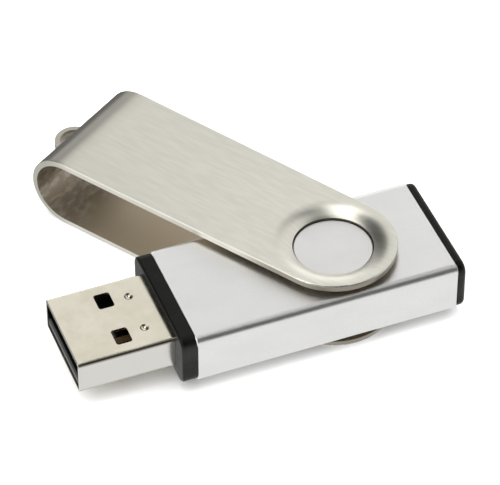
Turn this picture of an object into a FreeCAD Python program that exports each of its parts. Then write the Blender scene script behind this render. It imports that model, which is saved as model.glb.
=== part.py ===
import FreeCAD, Part
import math
import os
import re

import Sketcher
from FreeCAD import Rotation, Vector

# A swivel USB flash drive, in millimetres.
#
# The origin is the centre of the plug where it leaves the front cap. The plug points along -X,
# the body runs along +X, +Z is up and z = 0 is the mid-plane of body, plug and clip. The U-shaped
# clip turns about a vertical axis through the two pivot discs, and is shown part open.

DIMENSIONS = (
    ("plug_width", 12.0, "standard plug, across Y"),
    ("plug_height", 4.5, "standard plug, along Z"),
    ("plug_reach", 12.1, "front cap face to plug tip"),
    ("plug_tail", 4.8, "shell length behind the cap face"),
    ("plug_wall", 0.3, "sheet of the shell"),
    ("plug_bend", 0.45, "outer bend radius of the shell"),
    ("plug_lip", 0.1, "rounding of the shell's mouth"),
    ("seam_gap", 0.1, "folded seam under the shell"),
    ("window_length", 2.0, "latch window along X"),
    ("window_width", 2.5, "latch window along Y"),
    ("window_corner", 0.35, "corner radius of the window"),
    ("window_setback", 5.4, "plug tip to window"),
    ("window_middle", 3.15, "plug centre line to window middle"),
    ("dent_setback", 9.4, "plug tip to pressed dent"),
    ("dent_middle", 2.8, "plug centre line to dent"),
    ("dent_depth", 0.25, "depth of the dent"),
    ("dent_ball", 0.75, "radius of the punch"),
    ("tongue_width", 11.3, "insulator, across Y"),
    ("tongue_setback", 0.15, "plug tip to tongue"),
    ("tongue_drop", 0.7, "mid-plane down to the tongue's face"),
    ("tongue_depth", 8.9, "plug tip to the insulator's back block"),
    ("tongue_rear", 2.9, "rear of the back block"),
    ("tongue_play", 0.05, "insulator to shell"),
    ("tongue_nose", 0.2, "bevel on the tongue's front edge"),
    ("blade_width", 1.0, "contact blade across Y"),
    ("blade_sheet", 0.2, "contact blade's thickness"),
    ("blade_setback", 1.6, "plug tip to the outer blades"),
    ("blade_step", 1.0, "inner blades start further back"),
    ("blade_bend", 10.2, "plug tip to the middle of the blades' bend"),
    ("blade_ramp", 1.0, "length of the bend along X"),
    ("blade_rear", 4.6, "blades end on the board"),
    ("blade_outer", 3.5, "centre line to the outer blades"),
    ("blade_inner", 1.0, "centre line to the inner blades"),
    ("blade_proud", 0.05, "blade above the tongue's face"),
    ("blade_play", 0.02, "blade to slot"),
    ("tube_length", 33.5, "sleeve along X"),
    ("tube_width", 16.8, "sleeve across Y"),
    ("tube_height", 7.0, "sleeve along Z"),
    ("tube_wall", 0.8, "sleeve wall"),
    ("tube_corner", 1.0, "outer radius of the long edges"),
    ("tube_bevel", 0.12, "bright bevel on the cut ends"),
    ("pivot_opening", 6.2, "radius of the sleeve's round opening"),
    ("front_flange", 1.9, "visible part of the front cap"),
    ("rear_flange", 1.1, "visible part of the rear cap"),
    ("cap_corner", 1.4, "the caps' corners, rounder than the sleeve's"),
    ("front_round", 0.3, "rounding round the front cap's face"),
    ("rear_round", 0.6, "rounding round the rear cap's face"),
    ("spigot_length", 3.0, "cap inside the sleeve"),
    ("spigot_play", 0.03, "spigot to sleeve, and plug to front cap"),
    ("spigot_wall", 1.0, "rear spigot wall"),
    ("holder_play", 0.1, "holder to sleeve"),
    ("holder_gap", 0.1, "holder to cap spigots"),
    ("holder_skin", 0.58, "holder floor and roof"),
    ("holder_front_wall", 0.8, "holder end walls"),
    ("boss_radius", 5.6, "pivot boss on the holder"),
    ("boss_height", 3.1, "mid-plane to boss face"),
    ("stem_radius", 1.5, "disc stem"),
    ("stem_length", 0.8, "disc stem"),
    ("stem_play", 0.02, "stem to boss"),
    ("board_top", 0.15, "mid-plane down to the board's top"),
    ("board_thick", 0.8, "circuit board"),
    ("board_front", 3.0, "board nose inside the shell"),
    ("board_shoulder", 5.3, "nose to full width"),
    ("board_rear", 31.8, "rear edge of the board"),
    ("board_width", 13.8, "circuit board across Y"),
    ("board_nose", 11.0, "nose across Y"),
    ("board_play", 0.05, "board to holder"),
    ("ledge_width", 0.7, "board ledge in the holder"),
    ("pivot_x", 22.5, "clip pivot axis"),
    ("disc_radius", 4.85, "pivot disc"),
    ("disc_top", 4.0, "mid-plane to disc face"),
    ("disc_bevel", 0.12, "edge of the disc face"),
    ("clip_angle", 123.15, "from +X to the clip's direction, degrees"),
    ("clip_height", 10.0, "outside height of the U"),
    ("sheet", 0.75, "clip sheet"),
    ("clip_end", 7.8, "radius of the rounded ends"),
    ("clip_bend", 34.9, "pivot to the centre of the bend"),
    ("clip_taper", 0.57, "each side widens towards the bend, degrees"),
    ("clip_hole", 4.93, "hole round the disc"),
    ("clip_round", 0.2, "rounded edges of the cut sheet"),
    ("dish_outer", 7.3, "outer radius of the dished ring"),
    ("dish_roll", 4.2, "radius over which the sheet rolls into the dish"),
    ("dish_slope", 30.0, "the dish's straight slope, degrees"),
    ("loop_height", 1.6, "lanyard strip along Z"),
    ("loop_radius", 2.55, "outer radius of the lanyard strip"),
    ("loop_sheet", 0.65, "lanyard strip, thinned by pressing"),
    ("loop_middle", 39.5, "pivot to the centre of the strip's arc"),
    ("loop_root", 0.2, "the strip starts this far inside the bend's wall"),
    ("past", 1.0, "how far a cutting outline reaches past the solid"),
)

TOUCH = 1e-4  # two places nearer than this are the same
doc = FreeCAD.newDocument("usb_flash_drive")


def make_sheet():
    """The driving dimensions, one row each: name, number, meaning."""
    table = doc.addObject("Spreadsheet::Sheet", "dims")
    for row, (alias, value, meaning) in enumerate(DIMENSIONS, 1):
        table.set(f"A{row}", alias)
        table.set(f"B{row}", str(value))
        table.set(f"C{row}", meaning)
        table.setAlias(f"B{row}", alias)
    doc.recompute()
    return table


sheet = make_sheet()
ALIASES = {alias for alias, _, _ in DIMENSIONS}


def bound(text):
    """'tube_width / 2' as an expression on the sheet."""
    return re.sub(r"[a-z_]+", lambda word: ("dims." if word[0] in ALIASES else "") + word[0], text)


def size(text):
    """The number that an expression comes to."""
    return float(sheet.evalExpression(bound(text)))


# ---------------------------------------------------------------- sketch and feature helpers

def new_body(name):
    body = doc.addObject("PartDesign::Body", name)
    body.Label = name
    return body


def plane_of(body, role):
    return next(item for item in body.Origin.OriginFeatures if item.Role == role)


def sketch_on(body, role, name, offset="0"):
    """A sketch on one of the body's origin planes, moved along the plane's normal."""
    sketch = body.newObject("Sketcher::SketchObject", name)
    sketch.AttachmentSupport = [(plane_of(body, role), "")]
    sketch.MapMode = "FlatFace"
    sketch.setExpression(".AttachmentOffset.Base.z", bound(offset))
    return sketch


def fix_point(sketch, geometry, point, x, y):
    """Tie a sketch point to the sheet by its distances from the sketch origin."""
    for kind, axis, text in (("DistanceX", -2, x), ("DistanceY", -1, y)):
        value = size(text)
        if abs(value) < TOUCH:
            sketch.addConstraint(Sketcher.Constraint("PointOnObject", geometry, point, axis))
            continue
        ends = (-1, 1, geometry, point) if value > 0 else (geometry, point, -1, 1)
        index = sketch.addConstraint(Sketcher.Constraint(kind, *ends, abs(value)))
        sketch.setExpression(f"Constraints[{index}]", bound(text if value > 0 else f"-({text})"))


def fix_radius(sketch, geometry, radius):
    index = sketch.addConstraint(Sketcher.Constraint("Radius", geometry, size(radius)))
    sketch.setExpression(f"Constraints[{index}]", bound(radius))


def arc_between(start, end, centre):
    """The shorter arc from start to end."""
    middle = (start - centre).normalize() + (end - centre).normalize()
    radius = start.distanceToPoint(centre)
    return Part.Arc(start, centre + middle.normalize() * radius, end)


def outline(sketch, corners):
    """Draw a closed outline, fully constrained.

    A corner is (x, y) where a straight edge leaves it, or (x, y, radius, centre_x, centre_y)
    where an arc under half a turn leaves it.
    """
    spots = [Vector(size(corner[0]), size(corner[1]), 0) for corner in corners]
    edges = []
    for corner, start, end in zip(corners, spots, spots[1:] + spots[:1]):
        if len(corner) == 2:
            edges.append((sketch.addGeometry(Part.LineSegment(start, end)), 1, 2))
            continue
        centre = Vector(size(corner[3]), size(corner[4]), 0)
        index = sketch.addGeometry(arc_between(start, end, centre))
        forward = sketch.getPoint(index, 1).distanceToPoint(start) < TOUCH
        edges.append((index, 1, 2) if forward else (index, 2, 1))
    for number, (index, first, _) in enumerate(edges):
        before, _, last = edges[number - 1]
        sketch.addConstraint(Sketcher.Constraint("Coincident", before, last, index, first))
        fix_point(sketch, index, first, corners[number][0], corners[number][1])
        if len(corners[number]) > 2:
            fix_radius(sketch, index, corners[number][2])


def circle(sketch, x, y, radius):
    index = sketch.addGeometry(Part.Circle(Vector(size(x), size(y), 0), Vector(0, 0, 1), size(radius)))
    fix_point(sketch, index, 3, x, y)
    fix_radius(sketch, index, radius)


def rectangle(sketch, left, right, low, high):
    outline(sketch, [(left, low), (right, low), (right, high), (left, high)])


def rounded_rectangle(sketch, width, height, corner, x="0", y="0"):
    left, right = f"{x} - ({width}) / 2", f"{x} + ({width}) / 2"
    low, high = f"{y} - ({height}) / 2", f"{y} + ({height}) / 2"
    inner_left, inner_right = f"{left} + ({corner})", f"{right} - ({corner})"
    inner_low, inner_high = f"{low} + ({corner})", f"{high} - ({corner})"
    outline(sketch, [
        (inner_left, low),
        (inner_right, low, corner, inner_right, inner_low),
        (right, inner_low),
        (right, inner_high, corner, inner_right, inner_high),
        (inner_right, high),
        (inner_left, high, corner, inner_left, inner_high),
        (left, inner_high),
        (left, inner_low, corner, inner_left, inner_low),
    ])


def pad(body, sketch, name, length, symmetric=False):
    feature = body.newObject("PartDesign::Pad", name)
    feature.Profile = sketch
    feature.SideType = "Symmetric" if symmetric else "One side"
    feature.setExpression("Length", bound(length))
    doc.recompute()
    return feature


def pocket(body, sketch, name, length=None, symmetric=False, towards_normal=False):
    """Cut a sketch out: through everything both ways, or to a length. It has to cut something."""
    before = body.Shape.Volume
    feature = body.newObject("PartDesign::Pocket", name)
    feature.Profile = sketch
    if length is None:
        feature.Type = "ThroughAll"
    else:
        feature.setExpression("Length", bound(length))
    feature.SideType = "Symmetric" if symmetric or length is None else "One side"
    feature.Reversed = towards_normal
    doc.recompute()
    if body.Shape.Volume > before - TOUCH:
        raise RuntimeError(f"{name} cuts nothing")
    return feature


def revolve(body, sketch, name):
    feature = body.newObject("PartDesign::Revolution", name)
    feature.Profile = sketch
    feature.ReferenceAxis = (sketch, ["V_Axis"])
    feature.Angle = 360
    doc.recompute()
    return feature


def dress(body, kind, name, amount, chosen):
    """A Fillet or Chamfer on the edges of the body for which chosen(edge) is true."""
    base = body.Tip
    names = [f"Edge{number}" for number, edge in enumerate(base.Shape.Edges, 1) if chosen(edge)]
    if not names:
        raise RuntimeError(f"{name} finds no edge")
    feature = body.newObject(f"PartDesign::{kind}", name)
    feature.Base = (base, names)
    feature.setExpression("Radius" if kind == "Fillet" else "Size", bound(amount))
    doc.recompute()
    return feature


def edge_lies_at(edge, axis, place):
    """True if the whole edge lies in the plane axis = place."""
    box = edge.BoundBox
    low, high = getattr(box, axis + "Min"), getattr(box, axis + "Max")
    return abs(low - place) < TOUCH and abs(high - place) < TOUCH


def block(name, x, y, z):
    """A Part::Box between two x, two y and two z expressions."""
    box = doc.addObject("Part::Box", name)
    box.Label = name
    for length, axis, (low, high) in (("Length", "x", x), ("Width", "y", y), ("Height", "z", z)):
        box.setExpression(length, bound(f"({high}) - ({low})"))
        box.setExpression(f".Placement.Base.{axis}", bound(low))
    return box


def centred(middle, width):
    return f"{middle} - ({width}) / 2", f"{middle} + ({width}) / 2"


def group(name, pieces):
    compound = doc.addObject("Part::Compound", name)
    compound.Label = name
    compound.Links = pieces
    return compound


# ---------------------------------------------------------------- plug

def plug_shell():
    """Folded steel shell: a rounded tube with latch windows, two pressed dents and a seam."""
    body = new_body("plug_shell")
    section = sketch_on(body, "YZ_Plane", "shell_section", "-plug_reach")
    rounded_rectangle(section, "plug_width", "plug_height", "plug_bend")
    rounded_rectangle(section, "plug_width - 2 * plug_wall", "plug_height - 2 * plug_wall",
                      "plug_bend - plug_wall")
    pad(body, section, "shell_tube", "plug_reach + plug_tail")

    windows = sketch_on(body, "XY_Plane", "window_sketch")
    for side in ("-", ""):
        rounded_rectangle(windows, "window_length", "window_width", "window_corner",
                          "window_setback + window_length / 2 - plug_reach", f"{side}window_middle")
    pocket(body, windows, "latch_windows")

    seam = sketch_on(body, "XY_Plane", "seam_sketch", "-plug_height / 2")
    rectangle(seam, "-plug_reach - past", "plug_tail + past", "-seam_gap / 2", "seam_gap / 2")
    pocket(body, seam, "seam", "plug_wall * 2", symmetric=True)

    mouth, seam_edge = -size("plug_reach"), size("plug_wall")
    dress(body, "Fillet", "mouth_lip", "plug_lip",
          lambda edge: edge_lies_at(edge, "X", mouth) and edge.Length > seam_edge + TOUCH)

    for side, sign in (("left", "-"), ("right", "")):
        dent = body.newObject("PartDesign::SubtractiveSphere", f"dent_{side}")
        dent.setExpression("Radius", bound("dent_ball"))
        dent.AttachmentSupport = [(plane_of(body, "XY_Plane"), "")]
        dent.MapMode = "FlatFace"
        dent.setExpression(".AttachmentOffset.Base.x", bound("dent_setback - plug_reach"))
        dent.setExpression(".AttachmentOffset.Base.y", bound(f"{sign}dent_middle"))
        dent.setExpression(".AttachmentOffset.Base.z",
                           bound("plug_height / 2 - dent_depth + dent_ball"))
        doc.recompute()
    return body


# Each blade's distance from the plug's centre line, and how far back it starts.
BLADES = (("-blade_outer", "0"), ("-blade_inner", "blade_step"),
          ("blade_inner", "blade_step"), ("blade_outer", "0"))
BLADE_FRONT = "(blade_setback - plug_reach)"


def blade_profile(sketch, front, rear, play="0"):
    """A blade from the side: along the tongue, up a ramp in the back block, and on to the board."""
    ramp_start = "blade_bend - blade_ramp / 2 - plug_reach"
    ramp_end = "blade_bend + blade_ramp / 2 - plug_reach"
    face = f"-tongue_drop + blade_proud + {play}"
    under = f"-tongue_drop + blade_proud - blade_sheet - {play}"
    outline(sketch, [
        (front, under), (ramp_start, under), (ramp_end, f"-board_top - {play}"),
        (rear, f"-board_top - {play}"), (rear, f"blade_sheet - board_top + {play}"),
        (ramp_end, f"blade_sheet - board_top + {play}"), (ramp_start, face), (front, face),
    ])


def plug_tongue():
    """Insulator: a tongue below the mid-plane and a back block, with four blade slots."""
    body = new_body("plug_tongue")
    front = "tongue_setback - plug_reach"
    step = "tongue_depth - plug_reach"
    low = "plug_wall + tongue_play - plug_height / 2"
    high = "plug_height / 2 - plug_wall - tongue_play"
    side = sketch_on(body, "XZ_Plane", "tongue_side")
    outline(side, [
        (front, low), ("tongue_rear", low), ("tongue_rear", high), (step, high),
        (step, "-tongue_drop"), (f"{front} + tongue_nose", "-tongue_drop"),
        (front, "-tongue_drop - tongue_nose"),
    ])
    pad(body, side, "insulator", "tongue_width", symmetric=True)
    for number, (middle, extra) in enumerate(BLADES, 1):
        slot = sketch_on(body, "XZ_Plane", f"slot_sketch_{number}", middle)
        blade_profile(slot, f"{BLADE_FRONT} + {extra} - blade_play", "tongue_rear + past", "blade_play")
        pocket(body, slot, f"blade_slot_{number}", "blade_width + 2 * blade_play", symmetric=True)
    return body


def plug_contacts():
    """Four bent blades, lying on the tongue and running back on to the board's pads."""
    blades = []
    for number, (middle, extra) in enumerate(BLADES, 1):
        body = new_body(f"blade_{number}")
        side = sketch_on(body, "XZ_Plane", f"blade_sketch_{number}", middle)
        blade_profile(side, f"{BLADE_FRONT} + {extra}", "blade_rear")
        pad(body, side, f"blade_strip_{number}", "blade_width", symmetric=True)
        blades.append(body)
    return group("plug_contacts", blades)


# ---------------------------------------------------------------- body shell

INSIDE_WIDTH = "(tube_width - 2 * tube_wall)"
INSIDE_HEIGHT = "(tube_height - 2 * tube_wall)"
TUBE_END = "(front_flange + tube_length)"


def sleeve():
    """Extruded aluminium tube with a round pivot opening in each broad face."""
    body = new_body("sleeve")
    section = sketch_on(body, "YZ_Plane", "tube_section", "front_flange")
    rounded_rectangle(section, "tube_width", "tube_height", "tube_corner")
    rounded_rectangle(section, INSIDE_WIDTH, INSIDE_HEIGHT, "tube_corner - tube_wall")
    pad(body, section, "tube", "tube_length")

    opening = sketch_on(body, "XY_Plane", "opening_sketch")
    circle(opening, "pivot_x", "0", "pivot_opening")
    pocket(body, opening, "pivot_openings")

    ends = (size("front_flange"), size(TUBE_END))
    dress(body, "Chamfer", "cut_ends", "tube_bevel",
          lambda edge: on_outside(edge) and any(edge_lies_at(edge, "X", end) for end in ends))
    return body


def on_outside(edge):
    """True if an edge belongs to the outer outline of the sleeve or of a cap."""
    box = edge.BoundBox
    beside = max(abs(box.YMin), abs(box.YMax)) > size(INSIDE_WIDTH) / 2 + TOUCH
    above = max(abs(box.ZMin), abs(box.ZMax)) > size(INSIDE_HEIGHT) / 2 + TOUCH
    return beside or above


def cap_plate(body, start, length, face, rounding):
    """A cap's visible plate, as large as the sleeve, with its outer edge rounded at x = face."""
    section = sketch_on(body, "YZ_Plane", "plate_section", start)
    rounded_rectangle(section, "tube_width", "tube_height", "cap_corner")
    pad(body, section, "plate", length)
    dress(body, "Fillet", "plate_round", rounding,
          lambda edge: on_outside(edge) and edge_lies_at(edge, "X", size(face)))


def cap_spigot(body, start):
    """The block of a cap that sits in the sleeve, in from the plane x = start."""
    section = sketch_on(body, "YZ_Plane", "spigot_section", start)
    rounded_rectangle(section, f"{INSIDE_WIDTH} - 2 * spigot_play",
                      f"{INSIDE_HEIGHT} - 2 * spigot_play", "tube_corner - tube_wall + spigot_play")
    pad(body, section, "spigot", "spigot_length")


def front_cap():
    """Plastic end cap: a flange as large as the sleeve, and a spigot, with the plug's passage."""
    body = new_body("front_cap")
    cap_plate(body, "0", "front_flange", "0", "front_round")
    cap_spigot(body, "front_flange")
    passage = sketch_on(body, "YZ_Plane", "passage_section")
    rounded_rectangle(passage, "plug_width + 2 * spigot_play", "plug_height + 2 * spigot_play",
                      "plug_bend + spigot_play")
    pocket(body, passage, "plug_passage")
    return body


def rear_cap():
    """Plastic end plate with a hollow spigot."""
    body = new_body("rear_cap")
    cap_plate(body, TUBE_END, "rear_flange", f"{TUBE_END} + rear_flange", "rear_round")
    cap_spigot(body, f"{TUBE_END} - spigot_length")
    hollow = sketch_on(body, "YZ_Plane", "hollow_section", f"{TUBE_END} - spigot_length")
    rounded_rectangle(hollow, f"{INSIDE_WIDTH} - 2 * spigot_wall",
                      f"{INSIDE_HEIGHT} - 2 * spigot_wall", "spigot_wall / 2")
    pocket(body, hollow, "spigot_hollow", "spigot_length", towards_normal=True)
    return body


# ---------------------------------------------------------------- holder and board

HOLDER_FRONT = "(front_flange + spigot_length + holder_gap)"
HOLDER_REAR = f"({TUBE_END} - spigot_length - holder_gap)"
HOLDER_HALF = f"({INSIDE_WIDTH} / 2 - holder_play)"
HOLDER_FACE = f"({INSIDE_HEIGHT} / 2 - holder_play)"
BOARD_LOW = "(board_top + board_thick)"


def holder_block(body, sign):
    """A half of the holder, solid, from the board's top face out. sign is '' above and '-' below."""
    outer = f"{sign}{HOLDER_FACE}"
    plan = sketch_on(body, "XY_Plane", "holder_plan", outer if sign else "-board_top")
    rectangle(plan, HOLDER_FRONT, HOLDER_REAR, f"-{HOLDER_HALF}", HOLDER_HALF)
    thickness = f"{HOLDER_FACE} - board_top" if sign else f"{HOLDER_FACE} + board_top"
    pad(body, plan, "holder_block", thickness)


def holder_boss(body, sign):
    """The boss that fills the sleeve's round opening, with the hole for a disc's stem."""
    root = f"{HOLDER_FACE} - holder_skin / 2"
    boss = sketch_on(body, "XY_Plane", "boss_sketch", "-boss_height" if sign else root)
    circle(boss, "pivot_x", "0", "boss_radius")
    pad(body, boss, "boss", f"boss_height - ({root})")

    stem = sketch_on(body, "XY_Plane", "stem_sketch",
                     "-boss_height" if sign else "boss_height - stem_length")
    circle(stem, "pivot_x", "0", "stem_radius + stem_play")
    pocket(body, stem, "stem_hole", "stem_length", towards_normal=True)


def hollow_plan(sketch):
    """The room over or under the board, with a ledge left for the board to rest on."""
    rectangle(sketch, f"{HOLDER_FRONT} + holder_front_wall", "board_rear - ledge_width",
              "-board_width / 2 + ledge_width", "board_width / 2 - ledge_width")


def holder_tray():
    """Lower half: the board drops into a seat, its underside parts into a deeper well."""
    body = new_body("holder_tray")
    holder_block(body, "-")
    seat = sketch_on(body, "XY_Plane", "seat_sketch", f"-{BOARD_LOW}")
    rectangle(seat, f"{HOLDER_FRONT} - past", "board_rear + board_play",
              "-board_width / 2 - board_play", "board_width / 2 + board_play")
    pocket(body, seat, "board_seat", "board_thick + past", towards_normal=True)
    well = sketch_on(body, "XY_Plane", "well_sketch", f"-{HOLDER_FACE} + holder_skin")
    hollow_plan(well)
    pocket(body, well, "well", HOLDER_FACE, towards_normal=True)
    holder_boss(body, "-")
    return body


def holder_lid():
    """Upper half: hollow over the board's top side."""
    body = new_body("holder_lid")
    holder_block(body, "")
    roof = sketch_on(body, "XY_Plane", "hollow_sketch", "-board_top - past")
    hollow_plan(roof)
    pocket(body, roof, "hollow", f"{HOLDER_FACE} - holder_skin + board_top + past",
           towards_normal=True)
    holder_boss(body, "")
    return body


def circuit_board():
    """Board with a narrower nose that reaches into the shell under the blades."""
    body = new_body("circuit_board")
    plan = sketch_on(body, "XY_Plane", "board_plan", f"-{BOARD_LOW}")
    half, nose = "board_width / 2", "board_nose / 2"
    outline(plan, [
        ("board_front", f"-{nose}"), ("board_shoulder", f"-{nose}"),
        ("board_shoulder", f"-{half}"), ("board_rear", f"-{half}"),
        ("board_rear", half), ("board_shoulder", half),
        ("board_shoulder", nose), ("board_front", nose),
    ])
    pad(body, plan, "laminate", "board_thick")
    return body


# Surface-mounted parts: (x middle, y middle) on the board, and (length, width, height).
MEMORY_CENTRE = (18.6, 0.0)
MEMORY_SIZE = (18.4, 12.0, 1.0)
CONTROLLER_CENTRE = (12.5, 0.0)
CONTROLLER_SIZE = (7.0, 7.0, 0.9)
CRYSTAL_CENTRE = (7.3, 3.6)
CRYSTAL_SIZE = (2.0, 3.2, 0.8)
LED_CENTRE = (30.2, 4.2)
LED_SIZE = (0.8, 1.6, 0.6)
CAPACITOR_CENTRES = [(x, y) for x in (19.0, 22.5) for y in (-3.5, 0.0, 3.5)]
CAPACITOR_SIZE = (0.8, 1.6, 0.8)
RESISTOR_CENTRES = [(7.0, y) for y in (-5.0, -2.6, -0.2)] + [(30.2, 1.2)]
RESISTOR_SIZE = (0.8, 1.6, 0.45)
CHIP_STANDOFF = 0.05

# Bent leads of the two chips.
MEMORY_ROW = 24
CONTROLLER_ROW = 12
LEAD_PITCH = 0.5
LEAD_REACH = 0.75
LEAD_FOOT = 0.4
LEAD_WIDTH = 0.22
LEAD_SHEET = 0.12


def on_board(name, centre, sizes, above=True, standoff=0.0):
    """A box-shaped part on the board's top face, or hanging from its underside."""
    length, width, height = sizes
    if above:
        span = (f"-board_top + {standoff}", f"-board_top + {standoff + height}")
    else:
        span = (f"-{BOARD_LOW} - {standoff + height}", f"-{BOARD_LOW} - {standoff}")
    return block(name, centred(str(centre[0]), str(length)), centred(str(centre[1]), str(width)), span)


def lead_row(middle, outward, count):
    """Where a row of leads leaves a package: (middle of the edge, direction out, how many)."""
    return Vector(*middle, 0), Vector(*outward, 0), count


def gull_leads(name, rows, copper, up, rise):
    """Bent leads in rows. copper is the height of the board's face there, up is +1 above the
    board and -1 below it, and rise is how far the leads leave the package from that face."""
    shoulder = LEAD_REACH - LEAD_FOOT
    profile = ((0, rise), (shoulder, rise), (shoulder, LEAD_SHEET), (LEAD_REACH, LEAD_SHEET),
               (LEAD_REACH, 0), (shoulder - LEAD_SHEET, 0), (shoulder - LEAD_SHEET, rise - LEAD_SHEET),
               (0, rise - LEAD_SHEET))
    solids = []
    for middle, outward, count in rows:
        along = Vector(0, 0, 1).cross(outward)
        for number in range(count):
            place = (number - (count - 1) / 2) * LEAD_PITCH - LEAD_WIDTH / 2
            root = middle + along * place
            points = [root + outward * out + Vector(0, 0, copper + up * height)
                      for out, height in profile]
            solids.append(Part.Face(Part.makePolygon(points + points[:1])).extrude(along * LEAD_WIDTH))
    feature = doc.addObject("Part::Feature", name)
    feature.Label = name
    feature.Shape = Part.makeCompound(solids)
    return feature


def memory_leads():
    """A row of leads on each short edge of the memory package."""
    (x, y), (length, _, height) = MEMORY_CENTRE, MEMORY_SIZE
    rows = [lead_row((x + side * length / 2, y), (side, 0), MEMORY_ROW) for side in (-1, 1)]
    return gull_leads("memory_leads", rows, -size("board_top"), 1, CHIP_STANDOFF + height / 2)


def controller_leads():
    """A row of leads on each side of the controller."""
    (x, y), (length, _, height) = CONTROLLER_CENTRE, CONTROLLER_SIZE
    rows = [lead_row((x + out_x * length / 2, y + out_y * length / 2), (out_x, out_y), CONTROLLER_ROW)
            for out_x, out_y in ((-1, 0), (1, 0), (0, -1), (0, 1))]
    return gull_leads("controller_leads", rows, -size(BOARD_LOW), -1, CHIP_STANDOFF + height / 2)


def board_parts():
    """Everything that is soldered to the board."""
    capacitors = [on_board(f"capacitor_{number}", centre, CAPACITOR_SIZE, above=False)
                  for number, centre in enumerate(CAPACITOR_CENTRES, 1)]
    resistors = [on_board(f"resistor_{number}", centre, RESISTOR_SIZE)
                 for number, centre in enumerate(RESISTOR_CENTRES, 1)]
    return [
        on_board("memory_chip", MEMORY_CENTRE, MEMORY_SIZE, standoff=CHIP_STANDOFF),
        memory_leads(),
        on_board("controller_chip", CONTROLLER_CENTRE, CONTROLLER_SIZE, above=False,
                 standoff=CHIP_STANDOFF),
        controller_leads(),
        on_board("crystal", CRYSTAL_CENTRE, CRYSTAL_SIZE),
        on_board("activity_led", LED_CENTRE, LED_SIZE),
        group("capacitors", capacitors),
        group("resistors", resistors),
    ]


# ---------------------------------------------------------------- pivot discs and clip

def pivot_disc(name, turned):
    """Flat round disc with a stem; the clip's hole turns on its rim. turned puts it underneath."""
    body = new_body(name)
    body.setExpression(".Placement.Base.x", bound("pivot_x"))
    if turned:
        body.Placement.Rotation = Rotation(Vector(1, 0, 0), 180)
    half = sketch_on(body, "XZ_Plane", f"{name}_half")
    outline(half, [
        ("0", "boss_height - stem_length"), ("stem_radius", "boss_height - stem_length"),
        ("stem_radius", "boss_height"), ("disc_radius", "boss_height"),
        ("disc_radius", "disc_top - disc_bevel"), ("disc_radius - disc_bevel", "disc_top"),
        ("0", "disc_top"),
    ])
    revolve(body, half, f"{name}_turned")
    return body


def clip_side(body):
    """The U seen from its open side, wider than the blank."""
    side = sketch_on(body, "XZ_Plane", "clip_side")
    high, inner = "clip_height / 2", "clip_height / 2 - sheet"
    end = "-clip_end - past"
    outline(side, [
        (end, high),
        ("clip_bend", high, high, "clip_bend", "0"),
        (f"clip_bend + {high}", "0", high, "clip_bend", "0"),
        ("clip_bend", f"-({high})"),
        (end, f"-({high})"),
        (end, f"-({inner})"),
        ("clip_bend", f"-({inner})", inner, "clip_bend", "0"),
        (f"clip_bend + {inner}", "0", inner, "clip_bend", "0"),
        ("clip_bend", inner),
        (end, inner),
    ])
    pad(body, side, "bent_sheet", "3 * clip_end", symmetric=True)


def clip_plan(body):
    """Trim the sheet to the outline of the blank: rounded ends and a slight taper."""
    plan = sketch_on(body, "XY_Plane", "clip_plan")
    far = "clip_bend + clip_height"
    far_half = f"(clip_end + ({far}) * sin(clip_taper)) / cos(clip_taper)"
    touch_x, touch_y = "-clip_end * sin(clip_taper)", "clip_end * cos(clip_taper)"
    outline(plan, [
        (touch_x, f"-({touch_y})"), (far, f"-({far_half})"),
        (far, far_half),
        (touch_x, touch_y, "clip_end", "0", "0"),
        ("-clip_end", "0", "clip_end", "0", "0"),
    ])
    rectangle(plan, "-2 * clip_end", f"{far} + past", "-2 * clip_end", "2 * clip_end")
    pocket(body, plan, "blank_outline")


def clip_dish(body, name, sign):
    """The pressed ring round one hole: the sheet rolls over and slopes straight to the hole."""
    top = "clip_height / 2"
    inner_roll = "(dish_roll - sheet)"
    slope_x = "(dish_outer - dish_roll * sin(dish_slope))"
    slope_z = f"({top} - dish_roll + dish_roll * cos(dish_slope))"
    edge_z = f"({slope_z} - ({slope_x} - clip_hole) * tan(dish_slope))"
    under_x = f"dish_outer - {inner_roll} * sin(dish_slope)"
    under_z = f"{top} - dish_roll + {inner_roll} * cos(dish_slope)"

    def level(text):
        return f"{sign}({text})"

    centre = ("dish_outer", level(f"{top} - dish_roll"))
    profile = sketch_on(body, "XZ_Plane", f"{name}_profile")
    outline(profile, [
        ("dish_outer", level(top), "dish_roll", *centre),
        (slope_x, level(slope_z)),
        ("clip_hole", level(edge_z)),
        ("clip_hole", level(f"{edge_z} - sheet / cos(dish_slope)")),
        (under_x, level(under_z), inner_roll, *centre),
        ("dish_outer", level(f"{top} - sheet")),
    ])
    revolve(body, profile, name)


def clip_loop(body):
    """The lanyard loop: a strip of the bend's wall, cut free and pressed outward."""
    inner = "loop_radius - loop_sheet"
    root = "loop_middle - loop_root"
    window = sketch_on(body, "XY_Plane", "loop_window")
    rectangle(window, "clip_bend", "clip_bend + clip_height / 2 + past", f"-({inner})", inner)
    pocket(body, window, "loop_cut", "loop_height", symmetric=True)
    strip = sketch_on(body, "XY_Plane", "loop_strip")
    outline(strip, [
        (root, "-loop_radius"),
        ("loop_middle", "-loop_radius", "loop_radius", "loop_middle", "0"),
        ("loop_middle + loop_radius", "0", "loop_radius", "loop_middle", "0"),
        ("loop_middle", "loop_radius"),
        (root, "loop_radius"),
        (root, inner),
        ("loop_middle", inner, inner, "loop_middle", "0"),
        (f"loop_middle + {inner}", "0", inner, "loop_middle", "0"),
        ("loop_middle", f"-({inner})"),
        (root, f"-({inner})"),
    ])
    pad(body, strip, "lanyard_loop", "loop_height", symmetric=True)


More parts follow.
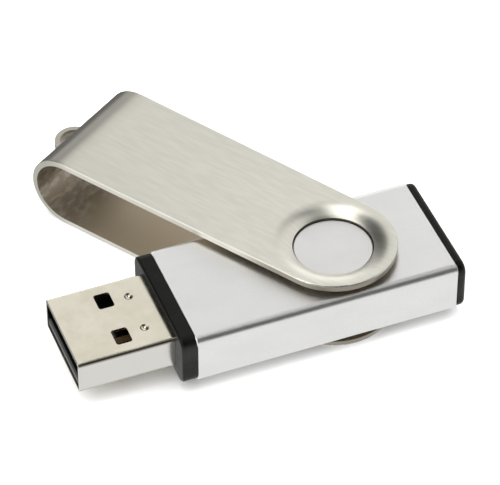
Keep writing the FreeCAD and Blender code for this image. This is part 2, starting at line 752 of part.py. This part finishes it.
def swivel_clip():
    """Bent steel clip, built along its own +X from the pivot and then turned to its rest angle."""
    body = new_body("swivel_clip")
    clip_side(body)
    clip_plan(body)
    hole = sketch_on(body, "XY_Plane", "dish_seat")
    circle(hole, "0", "0", "dish_outer")
    pocket(body, hole, "dish_seats")

    skin, seat = size("clip_height / 2"), size("dish_outer")

    def on_cut_edge(edge):
        """The blank's outline on the flat outer faces. The rounding runs on round the bend."""
        box = edge.BoundBox
        middle = edge.valueAt((edge.FirstParameter + edge.LastParameter) / 2)
        on_face = box.ZLength < TOUCH and abs(abs(middle.z) - skin) < TOUCH
        return on_face and math.hypot(middle.x, middle.y) > seat + TOUCH

    dress(body, "Fillet", "cut_edges", "clip_round", on_cut_edge)
    clip_dish(body, "upper_dish", "")
    clip_dish(body, "lower_dish", "-")
    clip_loop(body)
    body.setExpression(".Placement.Base.x", bound("pivot_x"))
    body.Placement.Rotation = Rotation(Vector(0, 0, 1), size("clip_angle"))
    return body


# ---------------------------------------------------------------- build, check, export

def check(parts):
    """Stop at any failed object, and at any sub-part that is not a valid solid or group."""
    for item in doc.Objects:
        if {"Invalid", "Error"} & set(item.State):
            raise RuntimeError(f"{item.Name} failed: {item.State}")
    for part in parts:
        shape = part.Shape
        if shape.isNull() or not shape.isValid() or not shape.Solids:
            raise RuntimeError(f"{part.Label} has a bad shape")


def export(parts):
    os.makedirs("parts", exist_ok=True)
    for part in parts:
        part.Shape.exportStep(f"parts/{part.Label}.step")
        print(f"{part.Label}: {len(part.Shape.Solids)} solid(s), {part.Shape.Volume:.2f} mm3")


def main():
    parts = [
        plug_shell(), plug_tongue(), plug_contacts(),
        sleeve(), front_cap(), rear_cap(),
        holder_tray(), holder_lid(), circuit_board(), *board_parts(),
        pivot_disc("pivot_disc_upper", False), pivot_disc("pivot_disc_lower", True),
        swivel_clip(),
    ]
    doc.recompute()
    check(parts)
    export(parts)


main()
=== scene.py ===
"""The looks of a swivel-clip memory stick: its finishes, and the floor, light and camera around it."""

import math

import bpy
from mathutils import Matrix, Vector


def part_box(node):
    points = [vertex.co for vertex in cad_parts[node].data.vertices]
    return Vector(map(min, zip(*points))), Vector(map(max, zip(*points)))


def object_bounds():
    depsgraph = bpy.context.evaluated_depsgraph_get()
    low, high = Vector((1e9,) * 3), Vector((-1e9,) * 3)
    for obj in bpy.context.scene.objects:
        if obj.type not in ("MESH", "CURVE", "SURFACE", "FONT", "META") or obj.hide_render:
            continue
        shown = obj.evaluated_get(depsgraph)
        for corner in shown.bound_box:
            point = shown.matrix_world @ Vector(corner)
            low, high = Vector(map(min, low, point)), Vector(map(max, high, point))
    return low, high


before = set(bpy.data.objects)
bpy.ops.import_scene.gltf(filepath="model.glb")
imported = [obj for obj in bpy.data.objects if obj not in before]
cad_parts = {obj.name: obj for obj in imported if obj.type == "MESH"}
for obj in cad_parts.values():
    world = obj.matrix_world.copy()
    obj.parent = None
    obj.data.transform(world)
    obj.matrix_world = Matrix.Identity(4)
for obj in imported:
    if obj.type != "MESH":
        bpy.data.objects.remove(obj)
cad_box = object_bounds()

# ---------------------------------------------------------------- places, in metres

DISC_LOW, DISC_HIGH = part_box("pivot_disc_upper")
PIVOT = (DISC_LOW + DISC_HIGH) / 2
SHELL_LOW, SHELL_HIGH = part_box("plug_shell")
SHELL_SHEET = 0.00028  # a little less than the shell's wall, so that its inner faces count as inside
SHELL_MOUTH = (0.001, 0.004)  # from the plug's tip: where the painted shade inside starts to lighten, and has done
CLIP_ANGLE = math.radians(123.15)  # the clip's long axis at rest, from +X
ALONG = Vector((math.cos(CLIP_ANGLE), math.sin(CLIP_ANGLE), 0))
ACROSS = Vector((-math.sin(CLIP_ANGLE), math.cos(CLIP_ANGLE), 0))
BEND_AT = 0.0349  # from the pivot to the centre of the clip's bend
BEND_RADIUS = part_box("swivel_clip")[1].z

# ---------------------------------------------------------------- small helpers for nodes

COMMON = (0.3, 0.7)  # the range that nearly all of a noise's values are in
CLOUD_DETAIL = 3.0
BROKEN_DETAIL, BROKEN_ROUGHNESS = 4.0, 0.6  # for the noises that look most broken up
FINE_BUMP = 0.00001  # metres
BLAST_BUMP = 0.00002


def add(tree, kind, inputs=None, **settings):
    """A new node: settings are its own properties, inputs are values or sockets by name or number."""
    node = tree.nodes.new(kind)
    for name, value in settings.items():
        setattr(node, name, value)
    for name, value in (inputs or {}).items():
        socket = node.inputs[name]
        if isinstance(value, bpy.types.NodeSocket):
            tree.links.new(value, socket)
        else:
            socket.default_value = value
    return node


def maths(tree, operation, *values):
    return add(tree, "ShaderNodeMath", dict(enumerate(values)), operation=operation).outputs[0]


def vector_maths(tree, operation, *values):
    node = add(tree, "ShaderNodeVectorMath", dict(enumerate(values)), operation=operation)
    return node.outputs["Value" if operation == "DOT_PRODUCT" else "Vector"]


def weighted_sum(tree, *terms):
    """The sum of (socket, weight) pairs."""
    total = 0.0
    for value, weight in terms:
        total = maths(tree, "ADD", total, maths(tree, "MULTIPLY", value, weight))
    return total


def ramp(tree, value, low, high, start=0.0, end=1.0):
    """start where value is low, end where it is high, and smooth between them."""
    inputs = {"Value": value, "From Min": low, "From Max": high, "To Min": start, "To Max": end}
    return add(tree, "ShaderNodeMapRange", inputs, interpolation_type="SMOOTHSTEP").outputs[0]


def mix(tree, share, first, second):
    """A blend of two colours, each three numbers or a socket."""
    node = add(tree, "ShaderNodeMix", {"Factor": share}, data_type="RGBA")
    for socket, value in zip([s for s in node.inputs if s.type == "RGBA"], (first, second)):
        if isinstance(value, bpy.types.NodeSocket):
            tree.links.new(value, socket)
        else:
            socket.default_value = (*value, 1)
    return next(s for s in node.outputs if s.type == "RGBA")


def noise(tree, place, scale=1.0, detail=2.0, roughness=0.5):
    inputs = {"Vector": place, "Scale": scale, "Detail": detail, "Roughness": roughness}
    return add(tree, "ShaderNodeTexNoise", inputs).outputs["Fac"]


def mottled(tree, texture, dark, light):
    """A colour that varies with a noise."""
    return mix(tree, ramp(tree, texture, *COMMON), dark, light)


def object_place(tree):
    return add(tree, "ShaderNodeTexCoord").outputs["Object"]


def object_normal(tree):
    return add(tree, "ShaderNodeTexCoord").outputs["Normal"]


def separate(tree, vector, axis):
    return add(tree, "ShaderNodeSeparateXYZ", {0: vector}).outputs[axis]


def stretched(tree, place, stretch):
    return vector_maths(tree, "MULTIPLY", place, stretch)


def bump(tree, height, distance, strength):
    inputs = {"Height": height, "Distance": distance, "Strength": strength}
    return add(tree, "ShaderNodeBump", inputs).outputs["Normal"]


def new_material(name):
    material = bpy.data.materials.new(name)
    material.use_nodes = True
    material.node_tree.nodes.clear()
    return material, material.node_tree


def surface(tree, inputs):
    shader = add(tree, "ShaderNodeBsdfPrincipled", inputs)
    add(tree, "ShaderNodeOutputMaterial", {"Surface": shader.outputs["BSDF"]})


def paint(node, material):
    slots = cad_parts[node].data.materials
    slots.clear()
    slots.append(material)


# ---------------------------------------------------------------- the clip
#
# Colours are linear. A noise's scale is its features per metre.

CLIP_DARK = (0.607, 0.594, 0.524)
CLIP_LIGHT = (0.662, 0.648, 0.577)
BEND_PAINTED_SHADE = (0.41, 0.398, 0.345)  # the outside of the bend: painted shade, standing in for the darker reflection there
# Inside colours: painted shade between the arms, darkest in the bend's crease; the straight one is partly
# the duller mill finish too.
INSIDE_STRAIGHT_MILL_AND_SHADE = (0.60, 0.52, 0.395)
INSIDE_BEND_SHADE = (0.33, 0.29, 0.23)
INSIDE_PATCH = (0.50, 0.46, 0.395)
CUT_EDGE_SHADE = (0.27, 0.25, 0.21)  # the cut edge round the arms' ends: painted shade, standing in for the shaded sleeve mirrored in it

GRAIN_SCALE = (420, 2600, 0)  # along the clip, across it, through the sheet
STREAK_SCALE = (200, 1300, 0)
BAND_SCALE = (50, 260, 0)
GRAIN_DETAIL, STREAK_DETAIL = 0.0, 1.0
GRAIN_SHARE, STREAK_SHARE, BAND_SHARE = 0.35, 0.4, 0.25
CLOUD_SCALE = 120.0
MOTTLE_SCALE = 900.0
MOTTLE_STRETCH = (1, 0.6, 1)
PATCHES = (0.42, 0.64)  # the mottle's values between clear metal and a full patch
PATCH_STRENGTH = 0.9
ARM_BEND_SHADE = 0.15  # how much of the painted bend shade the arms have by the bend
BEND_SHADE_SHARE = 0.85  # and how much the bend adds
BAND_ROUGHNESS = (0.28, 0.30)
CLOUDS = (0.35, 0.7)
CLOUD_ROUGHNESS = 0.02
INSIDE_ROUGHNESS = 0.15
BRUSHED_ANISOTROPY = 0.5

INSIDE = (-0.0001, -0.001)  # how far the face looks inward, in metres
INNER_BEND = (BEND_AT - 0.006, BEND_AT + 0.001)  # where the bend's painted shade and patches come in, on its inside
OUTER_BEND = (BEND_AT - 0.002, BEND_AT + 0.003)  # and on its outside
UPRIGHT = (0.75, 0.35)  # the normal's size along Z, from a broad face to a cut edge
CUT_EDGE_SHADE_PART = (0.010, 0.003)  # distances along the clip, from no painted shade on the cut edge to full painted shade


class ClipPlace:
    """Where a point is on the clip, and on its sheet laid flat."""

    def __init__(self, tree):
        self.place = object_place(tree)
        from_pivot = vector_maths(tree, "SUBTRACT", self.place, (PIVOT.x, PIVOT.y, 0))
        self.along = vector_maths(tree, "DOT_PRODUCT", from_pivot, ALONG)
        self.height = separate(tree, self.place, "Z")
        self.past_bend = maths(tree, "MAXIMUM", maths(tree, "SUBTRACT", self.along, BEND_AT), 0.0)
        across = vector_maths(tree, "DOT_PRODUCT", from_pivot, ACROSS)
        turn = maths(tree, "ARCTAN2", self.height, self.past_bend)
        arc = maths(tree, "MULTIPLY", turn, -BEND_RADIUS)
        on_the_arm = maths(tree, "MINIMUM", self.along, BEND_AT)
        straight = maths(tree, "MULTIPLY", maths(tree, "SIGN", self.height), on_the_arm)
        unrolled = maths(tree, "ADD", arc, straight)
        flat = {"X": unrolled, "Y": across, "Z": self.height}
        self.sheet = add(tree, "ShaderNodeCombineXYZ", flat).outputs[0]


def clip_outside(tree, spot, bands):
    """Straight brushing, with painted shade darkening it towards the bend and most round its outside."""
    grain = noise(tree, stretched(tree, spot.sheet, GRAIN_SCALE), detail=GRAIN_DETAIL)
    streaks = noise(tree, stretched(tree, spot.sheet, STREAK_SCALE), detail=STREAK_DETAIL)
    shade = weighted_sum(tree, (grain, GRAIN_SHARE), (streaks, STREAK_SHARE), (bands, BAND_SHARE))
    # painted shade: the arms darken towards the bend, and the bend's outside darkest
    towards_bend = ramp(tree, spot.along, 0.0, BEND_AT, 0.0, ARM_BEND_SHADE)
    round_bend = ramp(tree, spot.along, *OUTER_BEND, 0.0, BEND_SHADE_SHARE)
    share = maths(tree, "ADD", towards_bend, round_bend)
    return mix(tree, share, mottled(tree, shade, CLIP_DARK, CLIP_LIGHT), BEND_PAINTED_SHADE)


def clip_inside(tree, spot):
    """A dull mill finish with painted shade between the arms, darkest in the bend's crease, and lighter
    patches where the bend has lifted it.
    """
    place = stretched(tree, spot.sheet, MOTTLE_STRETCH)
    mottle = noise(tree, place, MOTTLE_SCALE, BROKEN_DETAIL, BROKEN_ROUGHNESS)
    near_bend = ramp(tree, spot.along, *INNER_BEND)
    strength = ramp(tree, near_bend, 0.0, 1.0, 0.0, PATCH_STRENGTH)
    patch = maths(tree, "MULTIPLY", ramp(tree, mottle, *PATCHES), strength)
    return mix(tree, patch, mix(tree, near_bend, INSIDE_STRAIGHT_MILL_AND_SHADE, INSIDE_BEND_SHADE), INSIDE_PATCH)


def clip_steel():
    """Brushed stainless steel, with a dull mill finish inside the bend and between the arms, where painted
    shade darkens it; painted shade also darkens the bend's outside and the cut edges.
    """
    material, tree = new_material("clip_steel")
    spot = ClipPlace(tree)
    bands = noise(tree, stretched(tree, spot.sheet, BAND_SCALE))
    clouds = noise(tree, spot.place, CLOUD_SCALE, CLOUD_DETAIL)

    normal = object_normal(tree)
    normal_z = separate(tree, normal, "Z")
    outward_along = vector_maths(tree, "DOT_PRODUCT", normal, ALONG)
    outward = weighted_sum(tree, (outward_along, spot.past_bend), (normal_z, spot.height))
    inside = ramp(tree, outward, *INSIDE)
    colour = mix(tree, inside, clip_outside(tree, spot, bands), clip_inside(tree, spot))
    upright = ramp(tree, maths(tree, "ABSOLUTE", normal_z), *UPRIGHT)
    # painted shade on the cut edges towards the arms' rounded ends
    cut_edge_shade = maths(tree, "MULTIPLY", upright, ramp(tree, spot.along, *CUT_EDGE_SHADE_PART))

    banded = ramp(tree, bands, *COMMON, *BAND_ROUGHNESS)
    clouded = ramp(tree, clouds, *CLOUDS)
    roughness = weighted_sum(tree, (banded, 1.0), (clouded, CLOUD_ROUGHNESS), (inside, INSIDE_ROUGHNESS))
    tangent = add(
        tree, "ShaderNodeVectorTransform", {"Vector": ACROSS},
        vector_type="VECTOR", convert_from="OBJECT", convert_to="WORLD",
    ).outputs[0]
    surface(tree, {
        "Base Color": mix(tree, cut_edge_shade, colour, CUT_EDGE_SHADE), "Metallic": 1.0, "Roughness": roughness,
        "Anisotropic": BRUSHED_ANISOTROPY, "Tangent": tangent,
    })
    return material


# ---------------------------------------------------------------- the sleeve, discs, caps and plug

SLEEVE_DARK = (0.735, 0.732, 0.715)
SLEEVE_LIGHT = (0.77, 0.768, 0.755)
SLEEVE_PITS = (0.67, 0.667, 0.655)
PIT_EDGE = (0.35, 0.65)
PIT_STRENGTH = 0.2
SLEEVE_BLAST_SCALE = 5200.0
SLEEVE_CLOUD_SCALE = 90.0
SLEEVE_CLOUD_STRETCH = (1, 2.5, 2.5)
SLEEVE_ROUGHNESS = (0.30, 0.38)
DISC_DARK = (0.725, 0.72, 0.703)
DISC_LIGHT = (0.765, 0.76, 0.747)
DISC_BLAST_SCALE = 6000.0
DISC_CLOUD_SCALE = 200.0
DISC_ROUGHNESS = (0.42, 0.52)
CAP_FLAT_DARK = (0.0015, 0.0015, 0.001)
CAP_FLAT_LIGHT = (0.003, 0.003, 0.002)
# painted light: the caps' upright faces are greyer than their top and bottom
CAP_LIT_SIDE_DARK = (0.010, 0.010, 0.009)
CAP_LIT_SIDE_LIGHT = (0.018, 0.018, 0.016)
CAP_TEXTURE_SCALE = 3000.0
CAP_CLOUD_SCALE = 350.0
CAP_ROUGHNESS = (0.27, 0.38)
CAP_SPECULAR = 0.13
NICKEL_DARK = (0.685, 0.638, 0.522)
NICKEL_LIGHT = (0.765, 0.722, 0.61)
# painted shade: the plug's sides are cooler and darker than its broad faces
NICKEL_SIDES_SHADE = (0.645, 0.633, 0.595)
# painted shade on the folded edges, standing in for a darker reflection
NICKEL_FOLD_SHADE = (0.27, 0.25, 0.21)
# painted shade inside the shell: darkest at the mouth, lighter deeper in
SHELL_MOUTH_SHADE = (0.18, 0.16, 0.13)
SHELL_DEEP_SHADE = (0.55, 0.50, 0.40)
SHELL_CLOUD_SCALE = 300.0
SCRATCH_SCALE = (150, 4000, 1500)
CLOUD_EDGE = (0.3, 0.75)
SHELL_ROUGHNESS = (0.17, 0.23)
SCRATCH_EDGE = (0.45, 0.8)
SCRATCH_ROUGHNESS = (0.0, 0.04)
UPRIGHT_TO_LEVEL = (0.2, 0.8)  # the normal's size along Z, from side faces to broad ones
FOLD_STARTS = (0.02, 0.3)  # the same, where the folds' painted shade comes in
FOLD_ENDS = (0.995, 0.85)  # and where it goes
FOLD_SHADE_STRENGTH = 0.8
SLEEVE_BUMP_STRENGTH = 0.3
DISC_BUMP_STRENGTH = 0.25
SCRATCH_BUMP_STRENGTH = 0.15
MOULDED_BUMP_STRENGTH = 0.2  # for the caps and the small parts


def sleeve_aluminium():
    """Clear-anodised aluminium, bead-blasted to a satin."""
    material, tree = new_material("sleeve_aluminium")
    place = object_place(tree)
    blast = noise(tree, place, SLEEVE_BLAST_SCALE)
    clouds = noise(tree, stretched(tree, place, SLEEVE_CLOUD_STRETCH), SLEEVE_CLOUD_SCALE, CLOUD_DETAIL)
    body = mottled(tree, clouds, SLEEVE_DARK, SLEEVE_LIGHT)
    pitted = ramp(tree, blast, *PIT_EDGE, 0.0, PIT_STRENGTH)
    surface(tree, {
        "Base Color": mix(tree, pitted, body, SLEEVE_PITS), "Metallic": 1.0,
        "Roughness": ramp(tree, blast, *COMMON, *SLEEVE_ROUGHNESS),
        "Normal": bump(tree, blast, BLAST_BUMP, SLEEVE_BUMP_STRENGTH),
    })
    return material


def disc_silver():
    """Matt silver, blasted finer than the sleeve."""
    material, tree = new_material("disc_silver")
    place = object_place(tree)
    blast = noise(tree, place, DISC_BLAST_SCALE)
    clouds = noise(tree, place, DISC_CLOUD_SCALE)
    surface(tree, {
        "Base Color": mottled(tree, clouds, DISC_DARK, DISC_LIGHT), "Metallic": 1.0,
        "Roughness": ramp(tree, blast, *COMMON, *DISC_ROUGHNESS),
        "Normal": bump(tree, blast, BLAST_BUMP, DISC_BUMP_STRENGTH),
    })
    return material


def cap_black():
    """Moulded black plastic, with painted light making its upright faces a little greyer than its top and
    bottom.
    """
    material, tree = new_material("cap_black")
    place = object_place(tree)
    texture = noise(tree, place, CAP_TEXTURE_SCALE, CLOUD_DETAIL)
    clouds = noise(tree, place, CAP_CLOUD_SCALE, CLOUD_DETAIL)
    black = mottled(tree, clouds, CAP_FLAT_DARK, CAP_FLAT_LIGHT)
    # painted light on the upright faces, picked by the normal's Z
    side_painted_light = mottled(tree, clouds, CAP_LIT_SIDE_DARK, CAP_LIT_SIDE_LIGHT)
    level = maths(tree, "ABSOLUTE", separate(tree, object_normal(tree), "Z"))
    surface(tree, {
        "Base Color": mix(tree, ramp(tree, level, *UPRIGHT_TO_LEVEL), side_painted_light, black),
        "Roughness": ramp(tree, texture, *COMMON, *CAP_ROUGHNESS), "Specular IOR Level": CAP_SPECULAR,
        "Normal": bump(tree, texture, BLAST_BUMP, MOULDED_BUMP_STRENGTH),
    })
    return material


def inside_shell(tree, place):
    """1 on the plug's inner faces, 0 on its outer ones."""
    across = maths(tree, "ABSOLUTE", separate(tree, place, "Y"))
    up = maths(tree, "ABSOLUTE", separate(tree, place, "Z"))
    beside = maths(tree, "LESS_THAN", across, SHELL_HIGH.y - SHELL_SHEET)
    between = maths(tree, "LESS_THAN", up, SHELL_HIGH.z - SHELL_SHEET)
    return maths(tree, "MULTIPLY", beside, between)


def shell_nickel():
    """Nickel-plated steel: warm on the broad faces, with painted shade on its sides, on its folds and
    inside it, darkest at the mouth.
    """
    material, tree = new_material("shell_nickel")
    place = object_place(tree)
    clouds = noise(tree, place, SHELL_CLOUD_SCALE, BROKEN_DETAIL, BROKEN_ROUGHNESS)
    scratches = noise(tree, stretched(tree, place, SCRATCH_SCALE))
    level = maths(tree, "ABSOLUTE", separate(tree, object_normal(tree), "Z"))
    warm = mottled(tree, clouds, NICKEL_DARK, NICKEL_LIGHT)
    # painted shade on the sides, by the normal's Z
    flat = mix(tree, ramp(tree, level, *UPRIGHT_TO_LEVEL), NICKEL_SIDES_SHADE, warm)
    # painted shade on the rounded folds
    fold_shade = maths(tree, "MULTIPLY", ramp(tree, level, *FOLD_STARTS), ramp(tree, level, *FOLD_ENDS))
    outer = mix(tree, maths(tree, "MULTIPLY", fold_shade, FOLD_SHADE_STRENGTH), flat, NICKEL_FOLD_SHADE)
    # painted shade on the shell's inner faces, darkest at the mouth
    mouth, deep = (SHELL_LOW.x + distance for distance in SHELL_MOUTH)
    depth = ramp(tree, separate(tree, place, "X"), mouth, deep)
    inner = mix(tree, depth, SHELL_MOUTH_SHADE, SHELL_DEEP_SHADE)
    clouded = ramp(tree, clouds, *CLOUD_EDGE, *SHELL_ROUGHNESS)
    scratched = ramp(tree, scratches, *SCRATCH_EDGE, *SCRATCH_ROUGHNESS)
    surface(tree, {
        "Base Color": mix(tree, inside_shell(tree, place), outer, inner), "Metallic": 1.0,
        "Roughness": maths(tree, "ADD", clouded, scratched),
        "Normal": bump(tree, scratches, FINE_BUMP, SCRATCH_BUMP_STRENGTH),
    })
    return material


# ---------------------------------------------------------------- the small parts

SMALL_SCALE = 2500.0
SMALL_SMOOTHER = 0.05
SMALL_ROUGHER = 0.08

# name: (nodes, darker colour, lighter colour, roughness)
PLASTICS = {
    "tongue_black": (("plug_tongue",), (0.003, 0.003, 0.003), (0.006, 0.006, 0.006), 0.13),
    "board_green": (("circuit_board",), (0.01, 0.10, 0.035), (0.015, 0.14, 0.05), 0.3),
    "led_lens": (("activity_led",), (0.50, 0.58, 0.66), (0.60, 0.68, 0.76), 0.15),
    "capacitor_ceramic": (("capacitors",), (0.36, 0.24, 0.14), (0.46, 0.32, 0.19), 0.4),
    "resistor_black": (("resistors",), (0.012, 0.012, 0.013), (0.022, 0.022, 0.024), 0.35),
    "holder_plastic": (("holder_tray", "holder_lid"), (0.02, 0.02, 0.019), (0.03, 0.03, 0.028), 0.5),
    "chip_black": (("memory_chip", "controller_chip"), (0.012, 0.012, 0.013), (0.02, 0.02, 0.021), 0.45),
}
METALS = {
    "contact_gold": (("plug_contacts",), (0.88, 0.68, 0.38), (0.95, 0.76, 0.46), 0.6),
    "crystal_can": (("crystal",), (0.60, 0.58, 0.54), (0.70, 0.68, 0.64), 0.34),
    "lead_tin": (("memory_leads", "controller_leads"), (0.62, 0.61, 0.58), (0.74, 0.73, 0.70), 0.34),
}


def plain(name, dark, light, roughness, metallic, bump_height):
    material, tree = new_material(name)
    texture = noise(tree, object_place(tree), SMALL_SCALE, CLOUD_DETAIL)
    surface(tree, {
        "Base Color": mottled(tree, texture, dark, light), "Metallic": metallic,
        "Roughness": ramp(tree, texture, *COMMON, roughness - SMALL_SMOOTHER, roughness + SMALL_ROUGHER),
        "Normal": bump(tree, texture, bump_height, MOULDED_BUMP_STRENGTH),
    })
    return material


def dress_small_parts():
    for table, metallic, bump_height in ((PLASTICS, 0.0, BLAST_BUMP), (METALS, 1.0, FINE_BUMP)):
        for name, (nodes, dark, light, roughness) in table.items():
            material = plain(name, dark, light, roughness, metallic, bump_height)
            for node in nodes:
                paint(node, material)


def dress_object():
    paint("swivel_clip", clip_steel())
    paint("sleeve", sleeve_aluminium())
    paint("plug_shell", shell_nickel())
    cap = cap_black()
    paint("front_cap", cap)
    paint("rear_cap", cap)
    disc = disc_silver()
    paint("pivot_disc_upper", disc)
    paint("pivot_disc_lower", disc)
    dress_small_parts()


# ---------------------------------------------------------------- the floor and the light

FLOOR_HALF = 0.35
FLOOR_DARK = (0.93, 0.93, 0.93)
FLOOR_LIGHT = (0.95, 0.95, 0.95)
FLOOR_SCALE = 40.0
FLOOR_ROUGHNESS = 0.9
FLOOR_SPECULAR = 0.1
ROOM_LEVEL = 1.12
LAMP_HEIGHT = 0.45
LAMP_WIDTH = 1.0
LAMP_POWER = 5.0

# Where the studio is brighter, as seen from the object: (direction, inner and outer degrees, added level).
LIGHTS = (
    ((0.05, 0.33, 0.94), 9, 16, 2.2),  # the soft box, far half
    ((-0.16, 0.02, 0.985), 8, 15, 1.4),  # the soft box, near half
    ((-0.75, -0.05, 0.65), 12, 26, 1.2),  # the strip light on the left
    ((0.38, 0.86, 0.33), 8, 18, 0.6),  # the back wall
)
# Where it is dark: (direction, inner and outer degrees, level).
GAPS = (
    ((0.20, -0.68, 0.70), 18, 45, 0.05),  # the camera's side
    ((0.27, 0.07, 0.96), 6, 14, 0.15),  # right of the soft box
    ((0.32, 0.25, 0.915), 7, 13, 0.0),  # between that and the far corner
    ((0.30, 0.44, 0.85), 5, 11, 0.02),  # at the soft box's far right corner
    ((-0.34, 0.58, 0.745), 15, 27, 0.0),  # left of the soft box
    ((-0.20, 0.84, 0.50), 12, 24, 0.1),  # below that
    ((0.10, 0.76, 0.64), 5, 26, 0.87),  # high on the back wall
    ((-0.15, 0.93, -0.34), 11, 38, 0.2),  # beyond the object
    ((0.25, 0.68, -0.69), 8, 24, 0.3),  # under its far side
    ((0.26, -0.67, -0.69), 25, 55, 0.93),  # the near part of the table
)


def floor():
    """White paper. It is left out of reflections, so that the metal shows the studio below as well."""
    mesh = bpy.data.meshes.new("floor")
    low = cad_box[0][2]
    sides = ((-1, -1), (1, -1), (1, 1), (-1, 1))
    mesh.from_pydata([(x * FLOOR_HALF, y * FLOOR_HALF, low) for x, y in sides], [], [(0, 1, 2, 3)])
    ground = bpy.data.objects.new("floor", mesh)
    bpy.context.scene.collection.objects.link(ground)
    material, tree = new_material("floor_white")
    colour = mix(tree, noise(tree, object_place(tree), FLOOR_SCALE), FLOOR_DARK, FLOOR_LIGHT)
    surface(tree, {
        "Base Color": colour, "Roughness": FLOOR_ROUGHNESS, "Specular IOR Level": FLOOR_SPECULAR,
    })
    mesh.materials.append(material)
    ground.visible_glossy = False


def glow(tree, direction, towards, inner, outer):
    """1 within inner degrees of a direction, 0 beyond outer degrees, and smooth between them."""
    facing = vector_maths(tree, "DOT_PRODUCT", direction, Vector(towards).normalized())
    return ramp(tree, facing, math.cos(math.radians(outer)), math.cos(math.radians(inner)))


def studio():
    """A pale room for the metal to reflect, with a soft box overhead and dark gaps around it."""
    world = bpy.data.worlds.new("studio")
    bpy.context.scene.world = world
    world.use_nodes = True
    tree = world.node_tree
    tree.nodes.clear()
    direction = add(tree, "ShaderNodeTexCoord").outputs["Generated"]
    level = ROOM_LEVEL
    for towards, inner, outer, bright in LIGHTS:
        light = maths(tree, "MULTIPLY", glow(tree, direction, towards, inner, outer), bright)
        level = maths(tree, "ADD", level, light)
    for towards, inner, outer, dark in GAPS:
        gap = glow(tree, direction, towards, inner, outer)
        level = maths(tree, "MULTIPLY", level, ramp(tree, gap, 0.0, 1.0, 1.0, dark))
    background = add(tree, "ShaderNodeBackground", {"Color": (1, 1, 1, 1), "Strength": level})
    add(tree, "ShaderNodeOutputWorld", {"Surface": background.outputs[0]})


def overhead_lamp():
    """Lights the floor and plastics from straight above, and isn't mirrored in the metal."""
    light = bpy.data.lights.new("overhead", "AREA")
    light.shape = "DISK"
    light.size = LAMP_WIDTH
    light.energy = LAMP_POWER
    lamp = bpy.data.objects.new("overhead", light)
    bpy.context.scene.collection.objects.link(lamp)
    lamp.location = (0, 0, LAMP_HEIGHT)
    lamp.visible_glossy = False


# ---------------------------------------------------------------- the camera

AZIMUTH = math.radians(-21.205)
ELEVATION = math.radians(43.844)
ROLL = math.radians(-0.096)
DISTANCE = 0.39239
AIM = Vector((0.01538, 0.00931, -0.0010))
LENS = 229.96
SENSOR_WIDTH = 36
CLIP_START = 0.01
CLIP_END = 10


def camera():
    data = bpy.data.cameras.new("camera")
    data.lens = LENS
    data.sensor_width = SENSOR_WIDTH
    data.clip_start = CLIP_START
    data.clip_end = CLIP_END
    eye = bpy.data.objects.new("camera", data)
    bpy.context.scene.collection.objects.link(eye)
    level = math.cos(ELEVATION)
    back = Vector((math.sin(AZIMUTH) * level, -math.cos(AZIMUTH) * level, math.sin(ELEVATION)))
    eye.rotation_euler = back.to_track_quat("Z", "Y").to_euler()
    eye.rotation_euler.rotate_axis("Z", ROLL)
    eye.location = AIM + DISTANCE * back
    bpy.context.scene.camera = eye


dress_object()
floor()
studio()
overhead_lamp()
camera()
bpy.context.scene.view_settings.view_transform = "Standard"
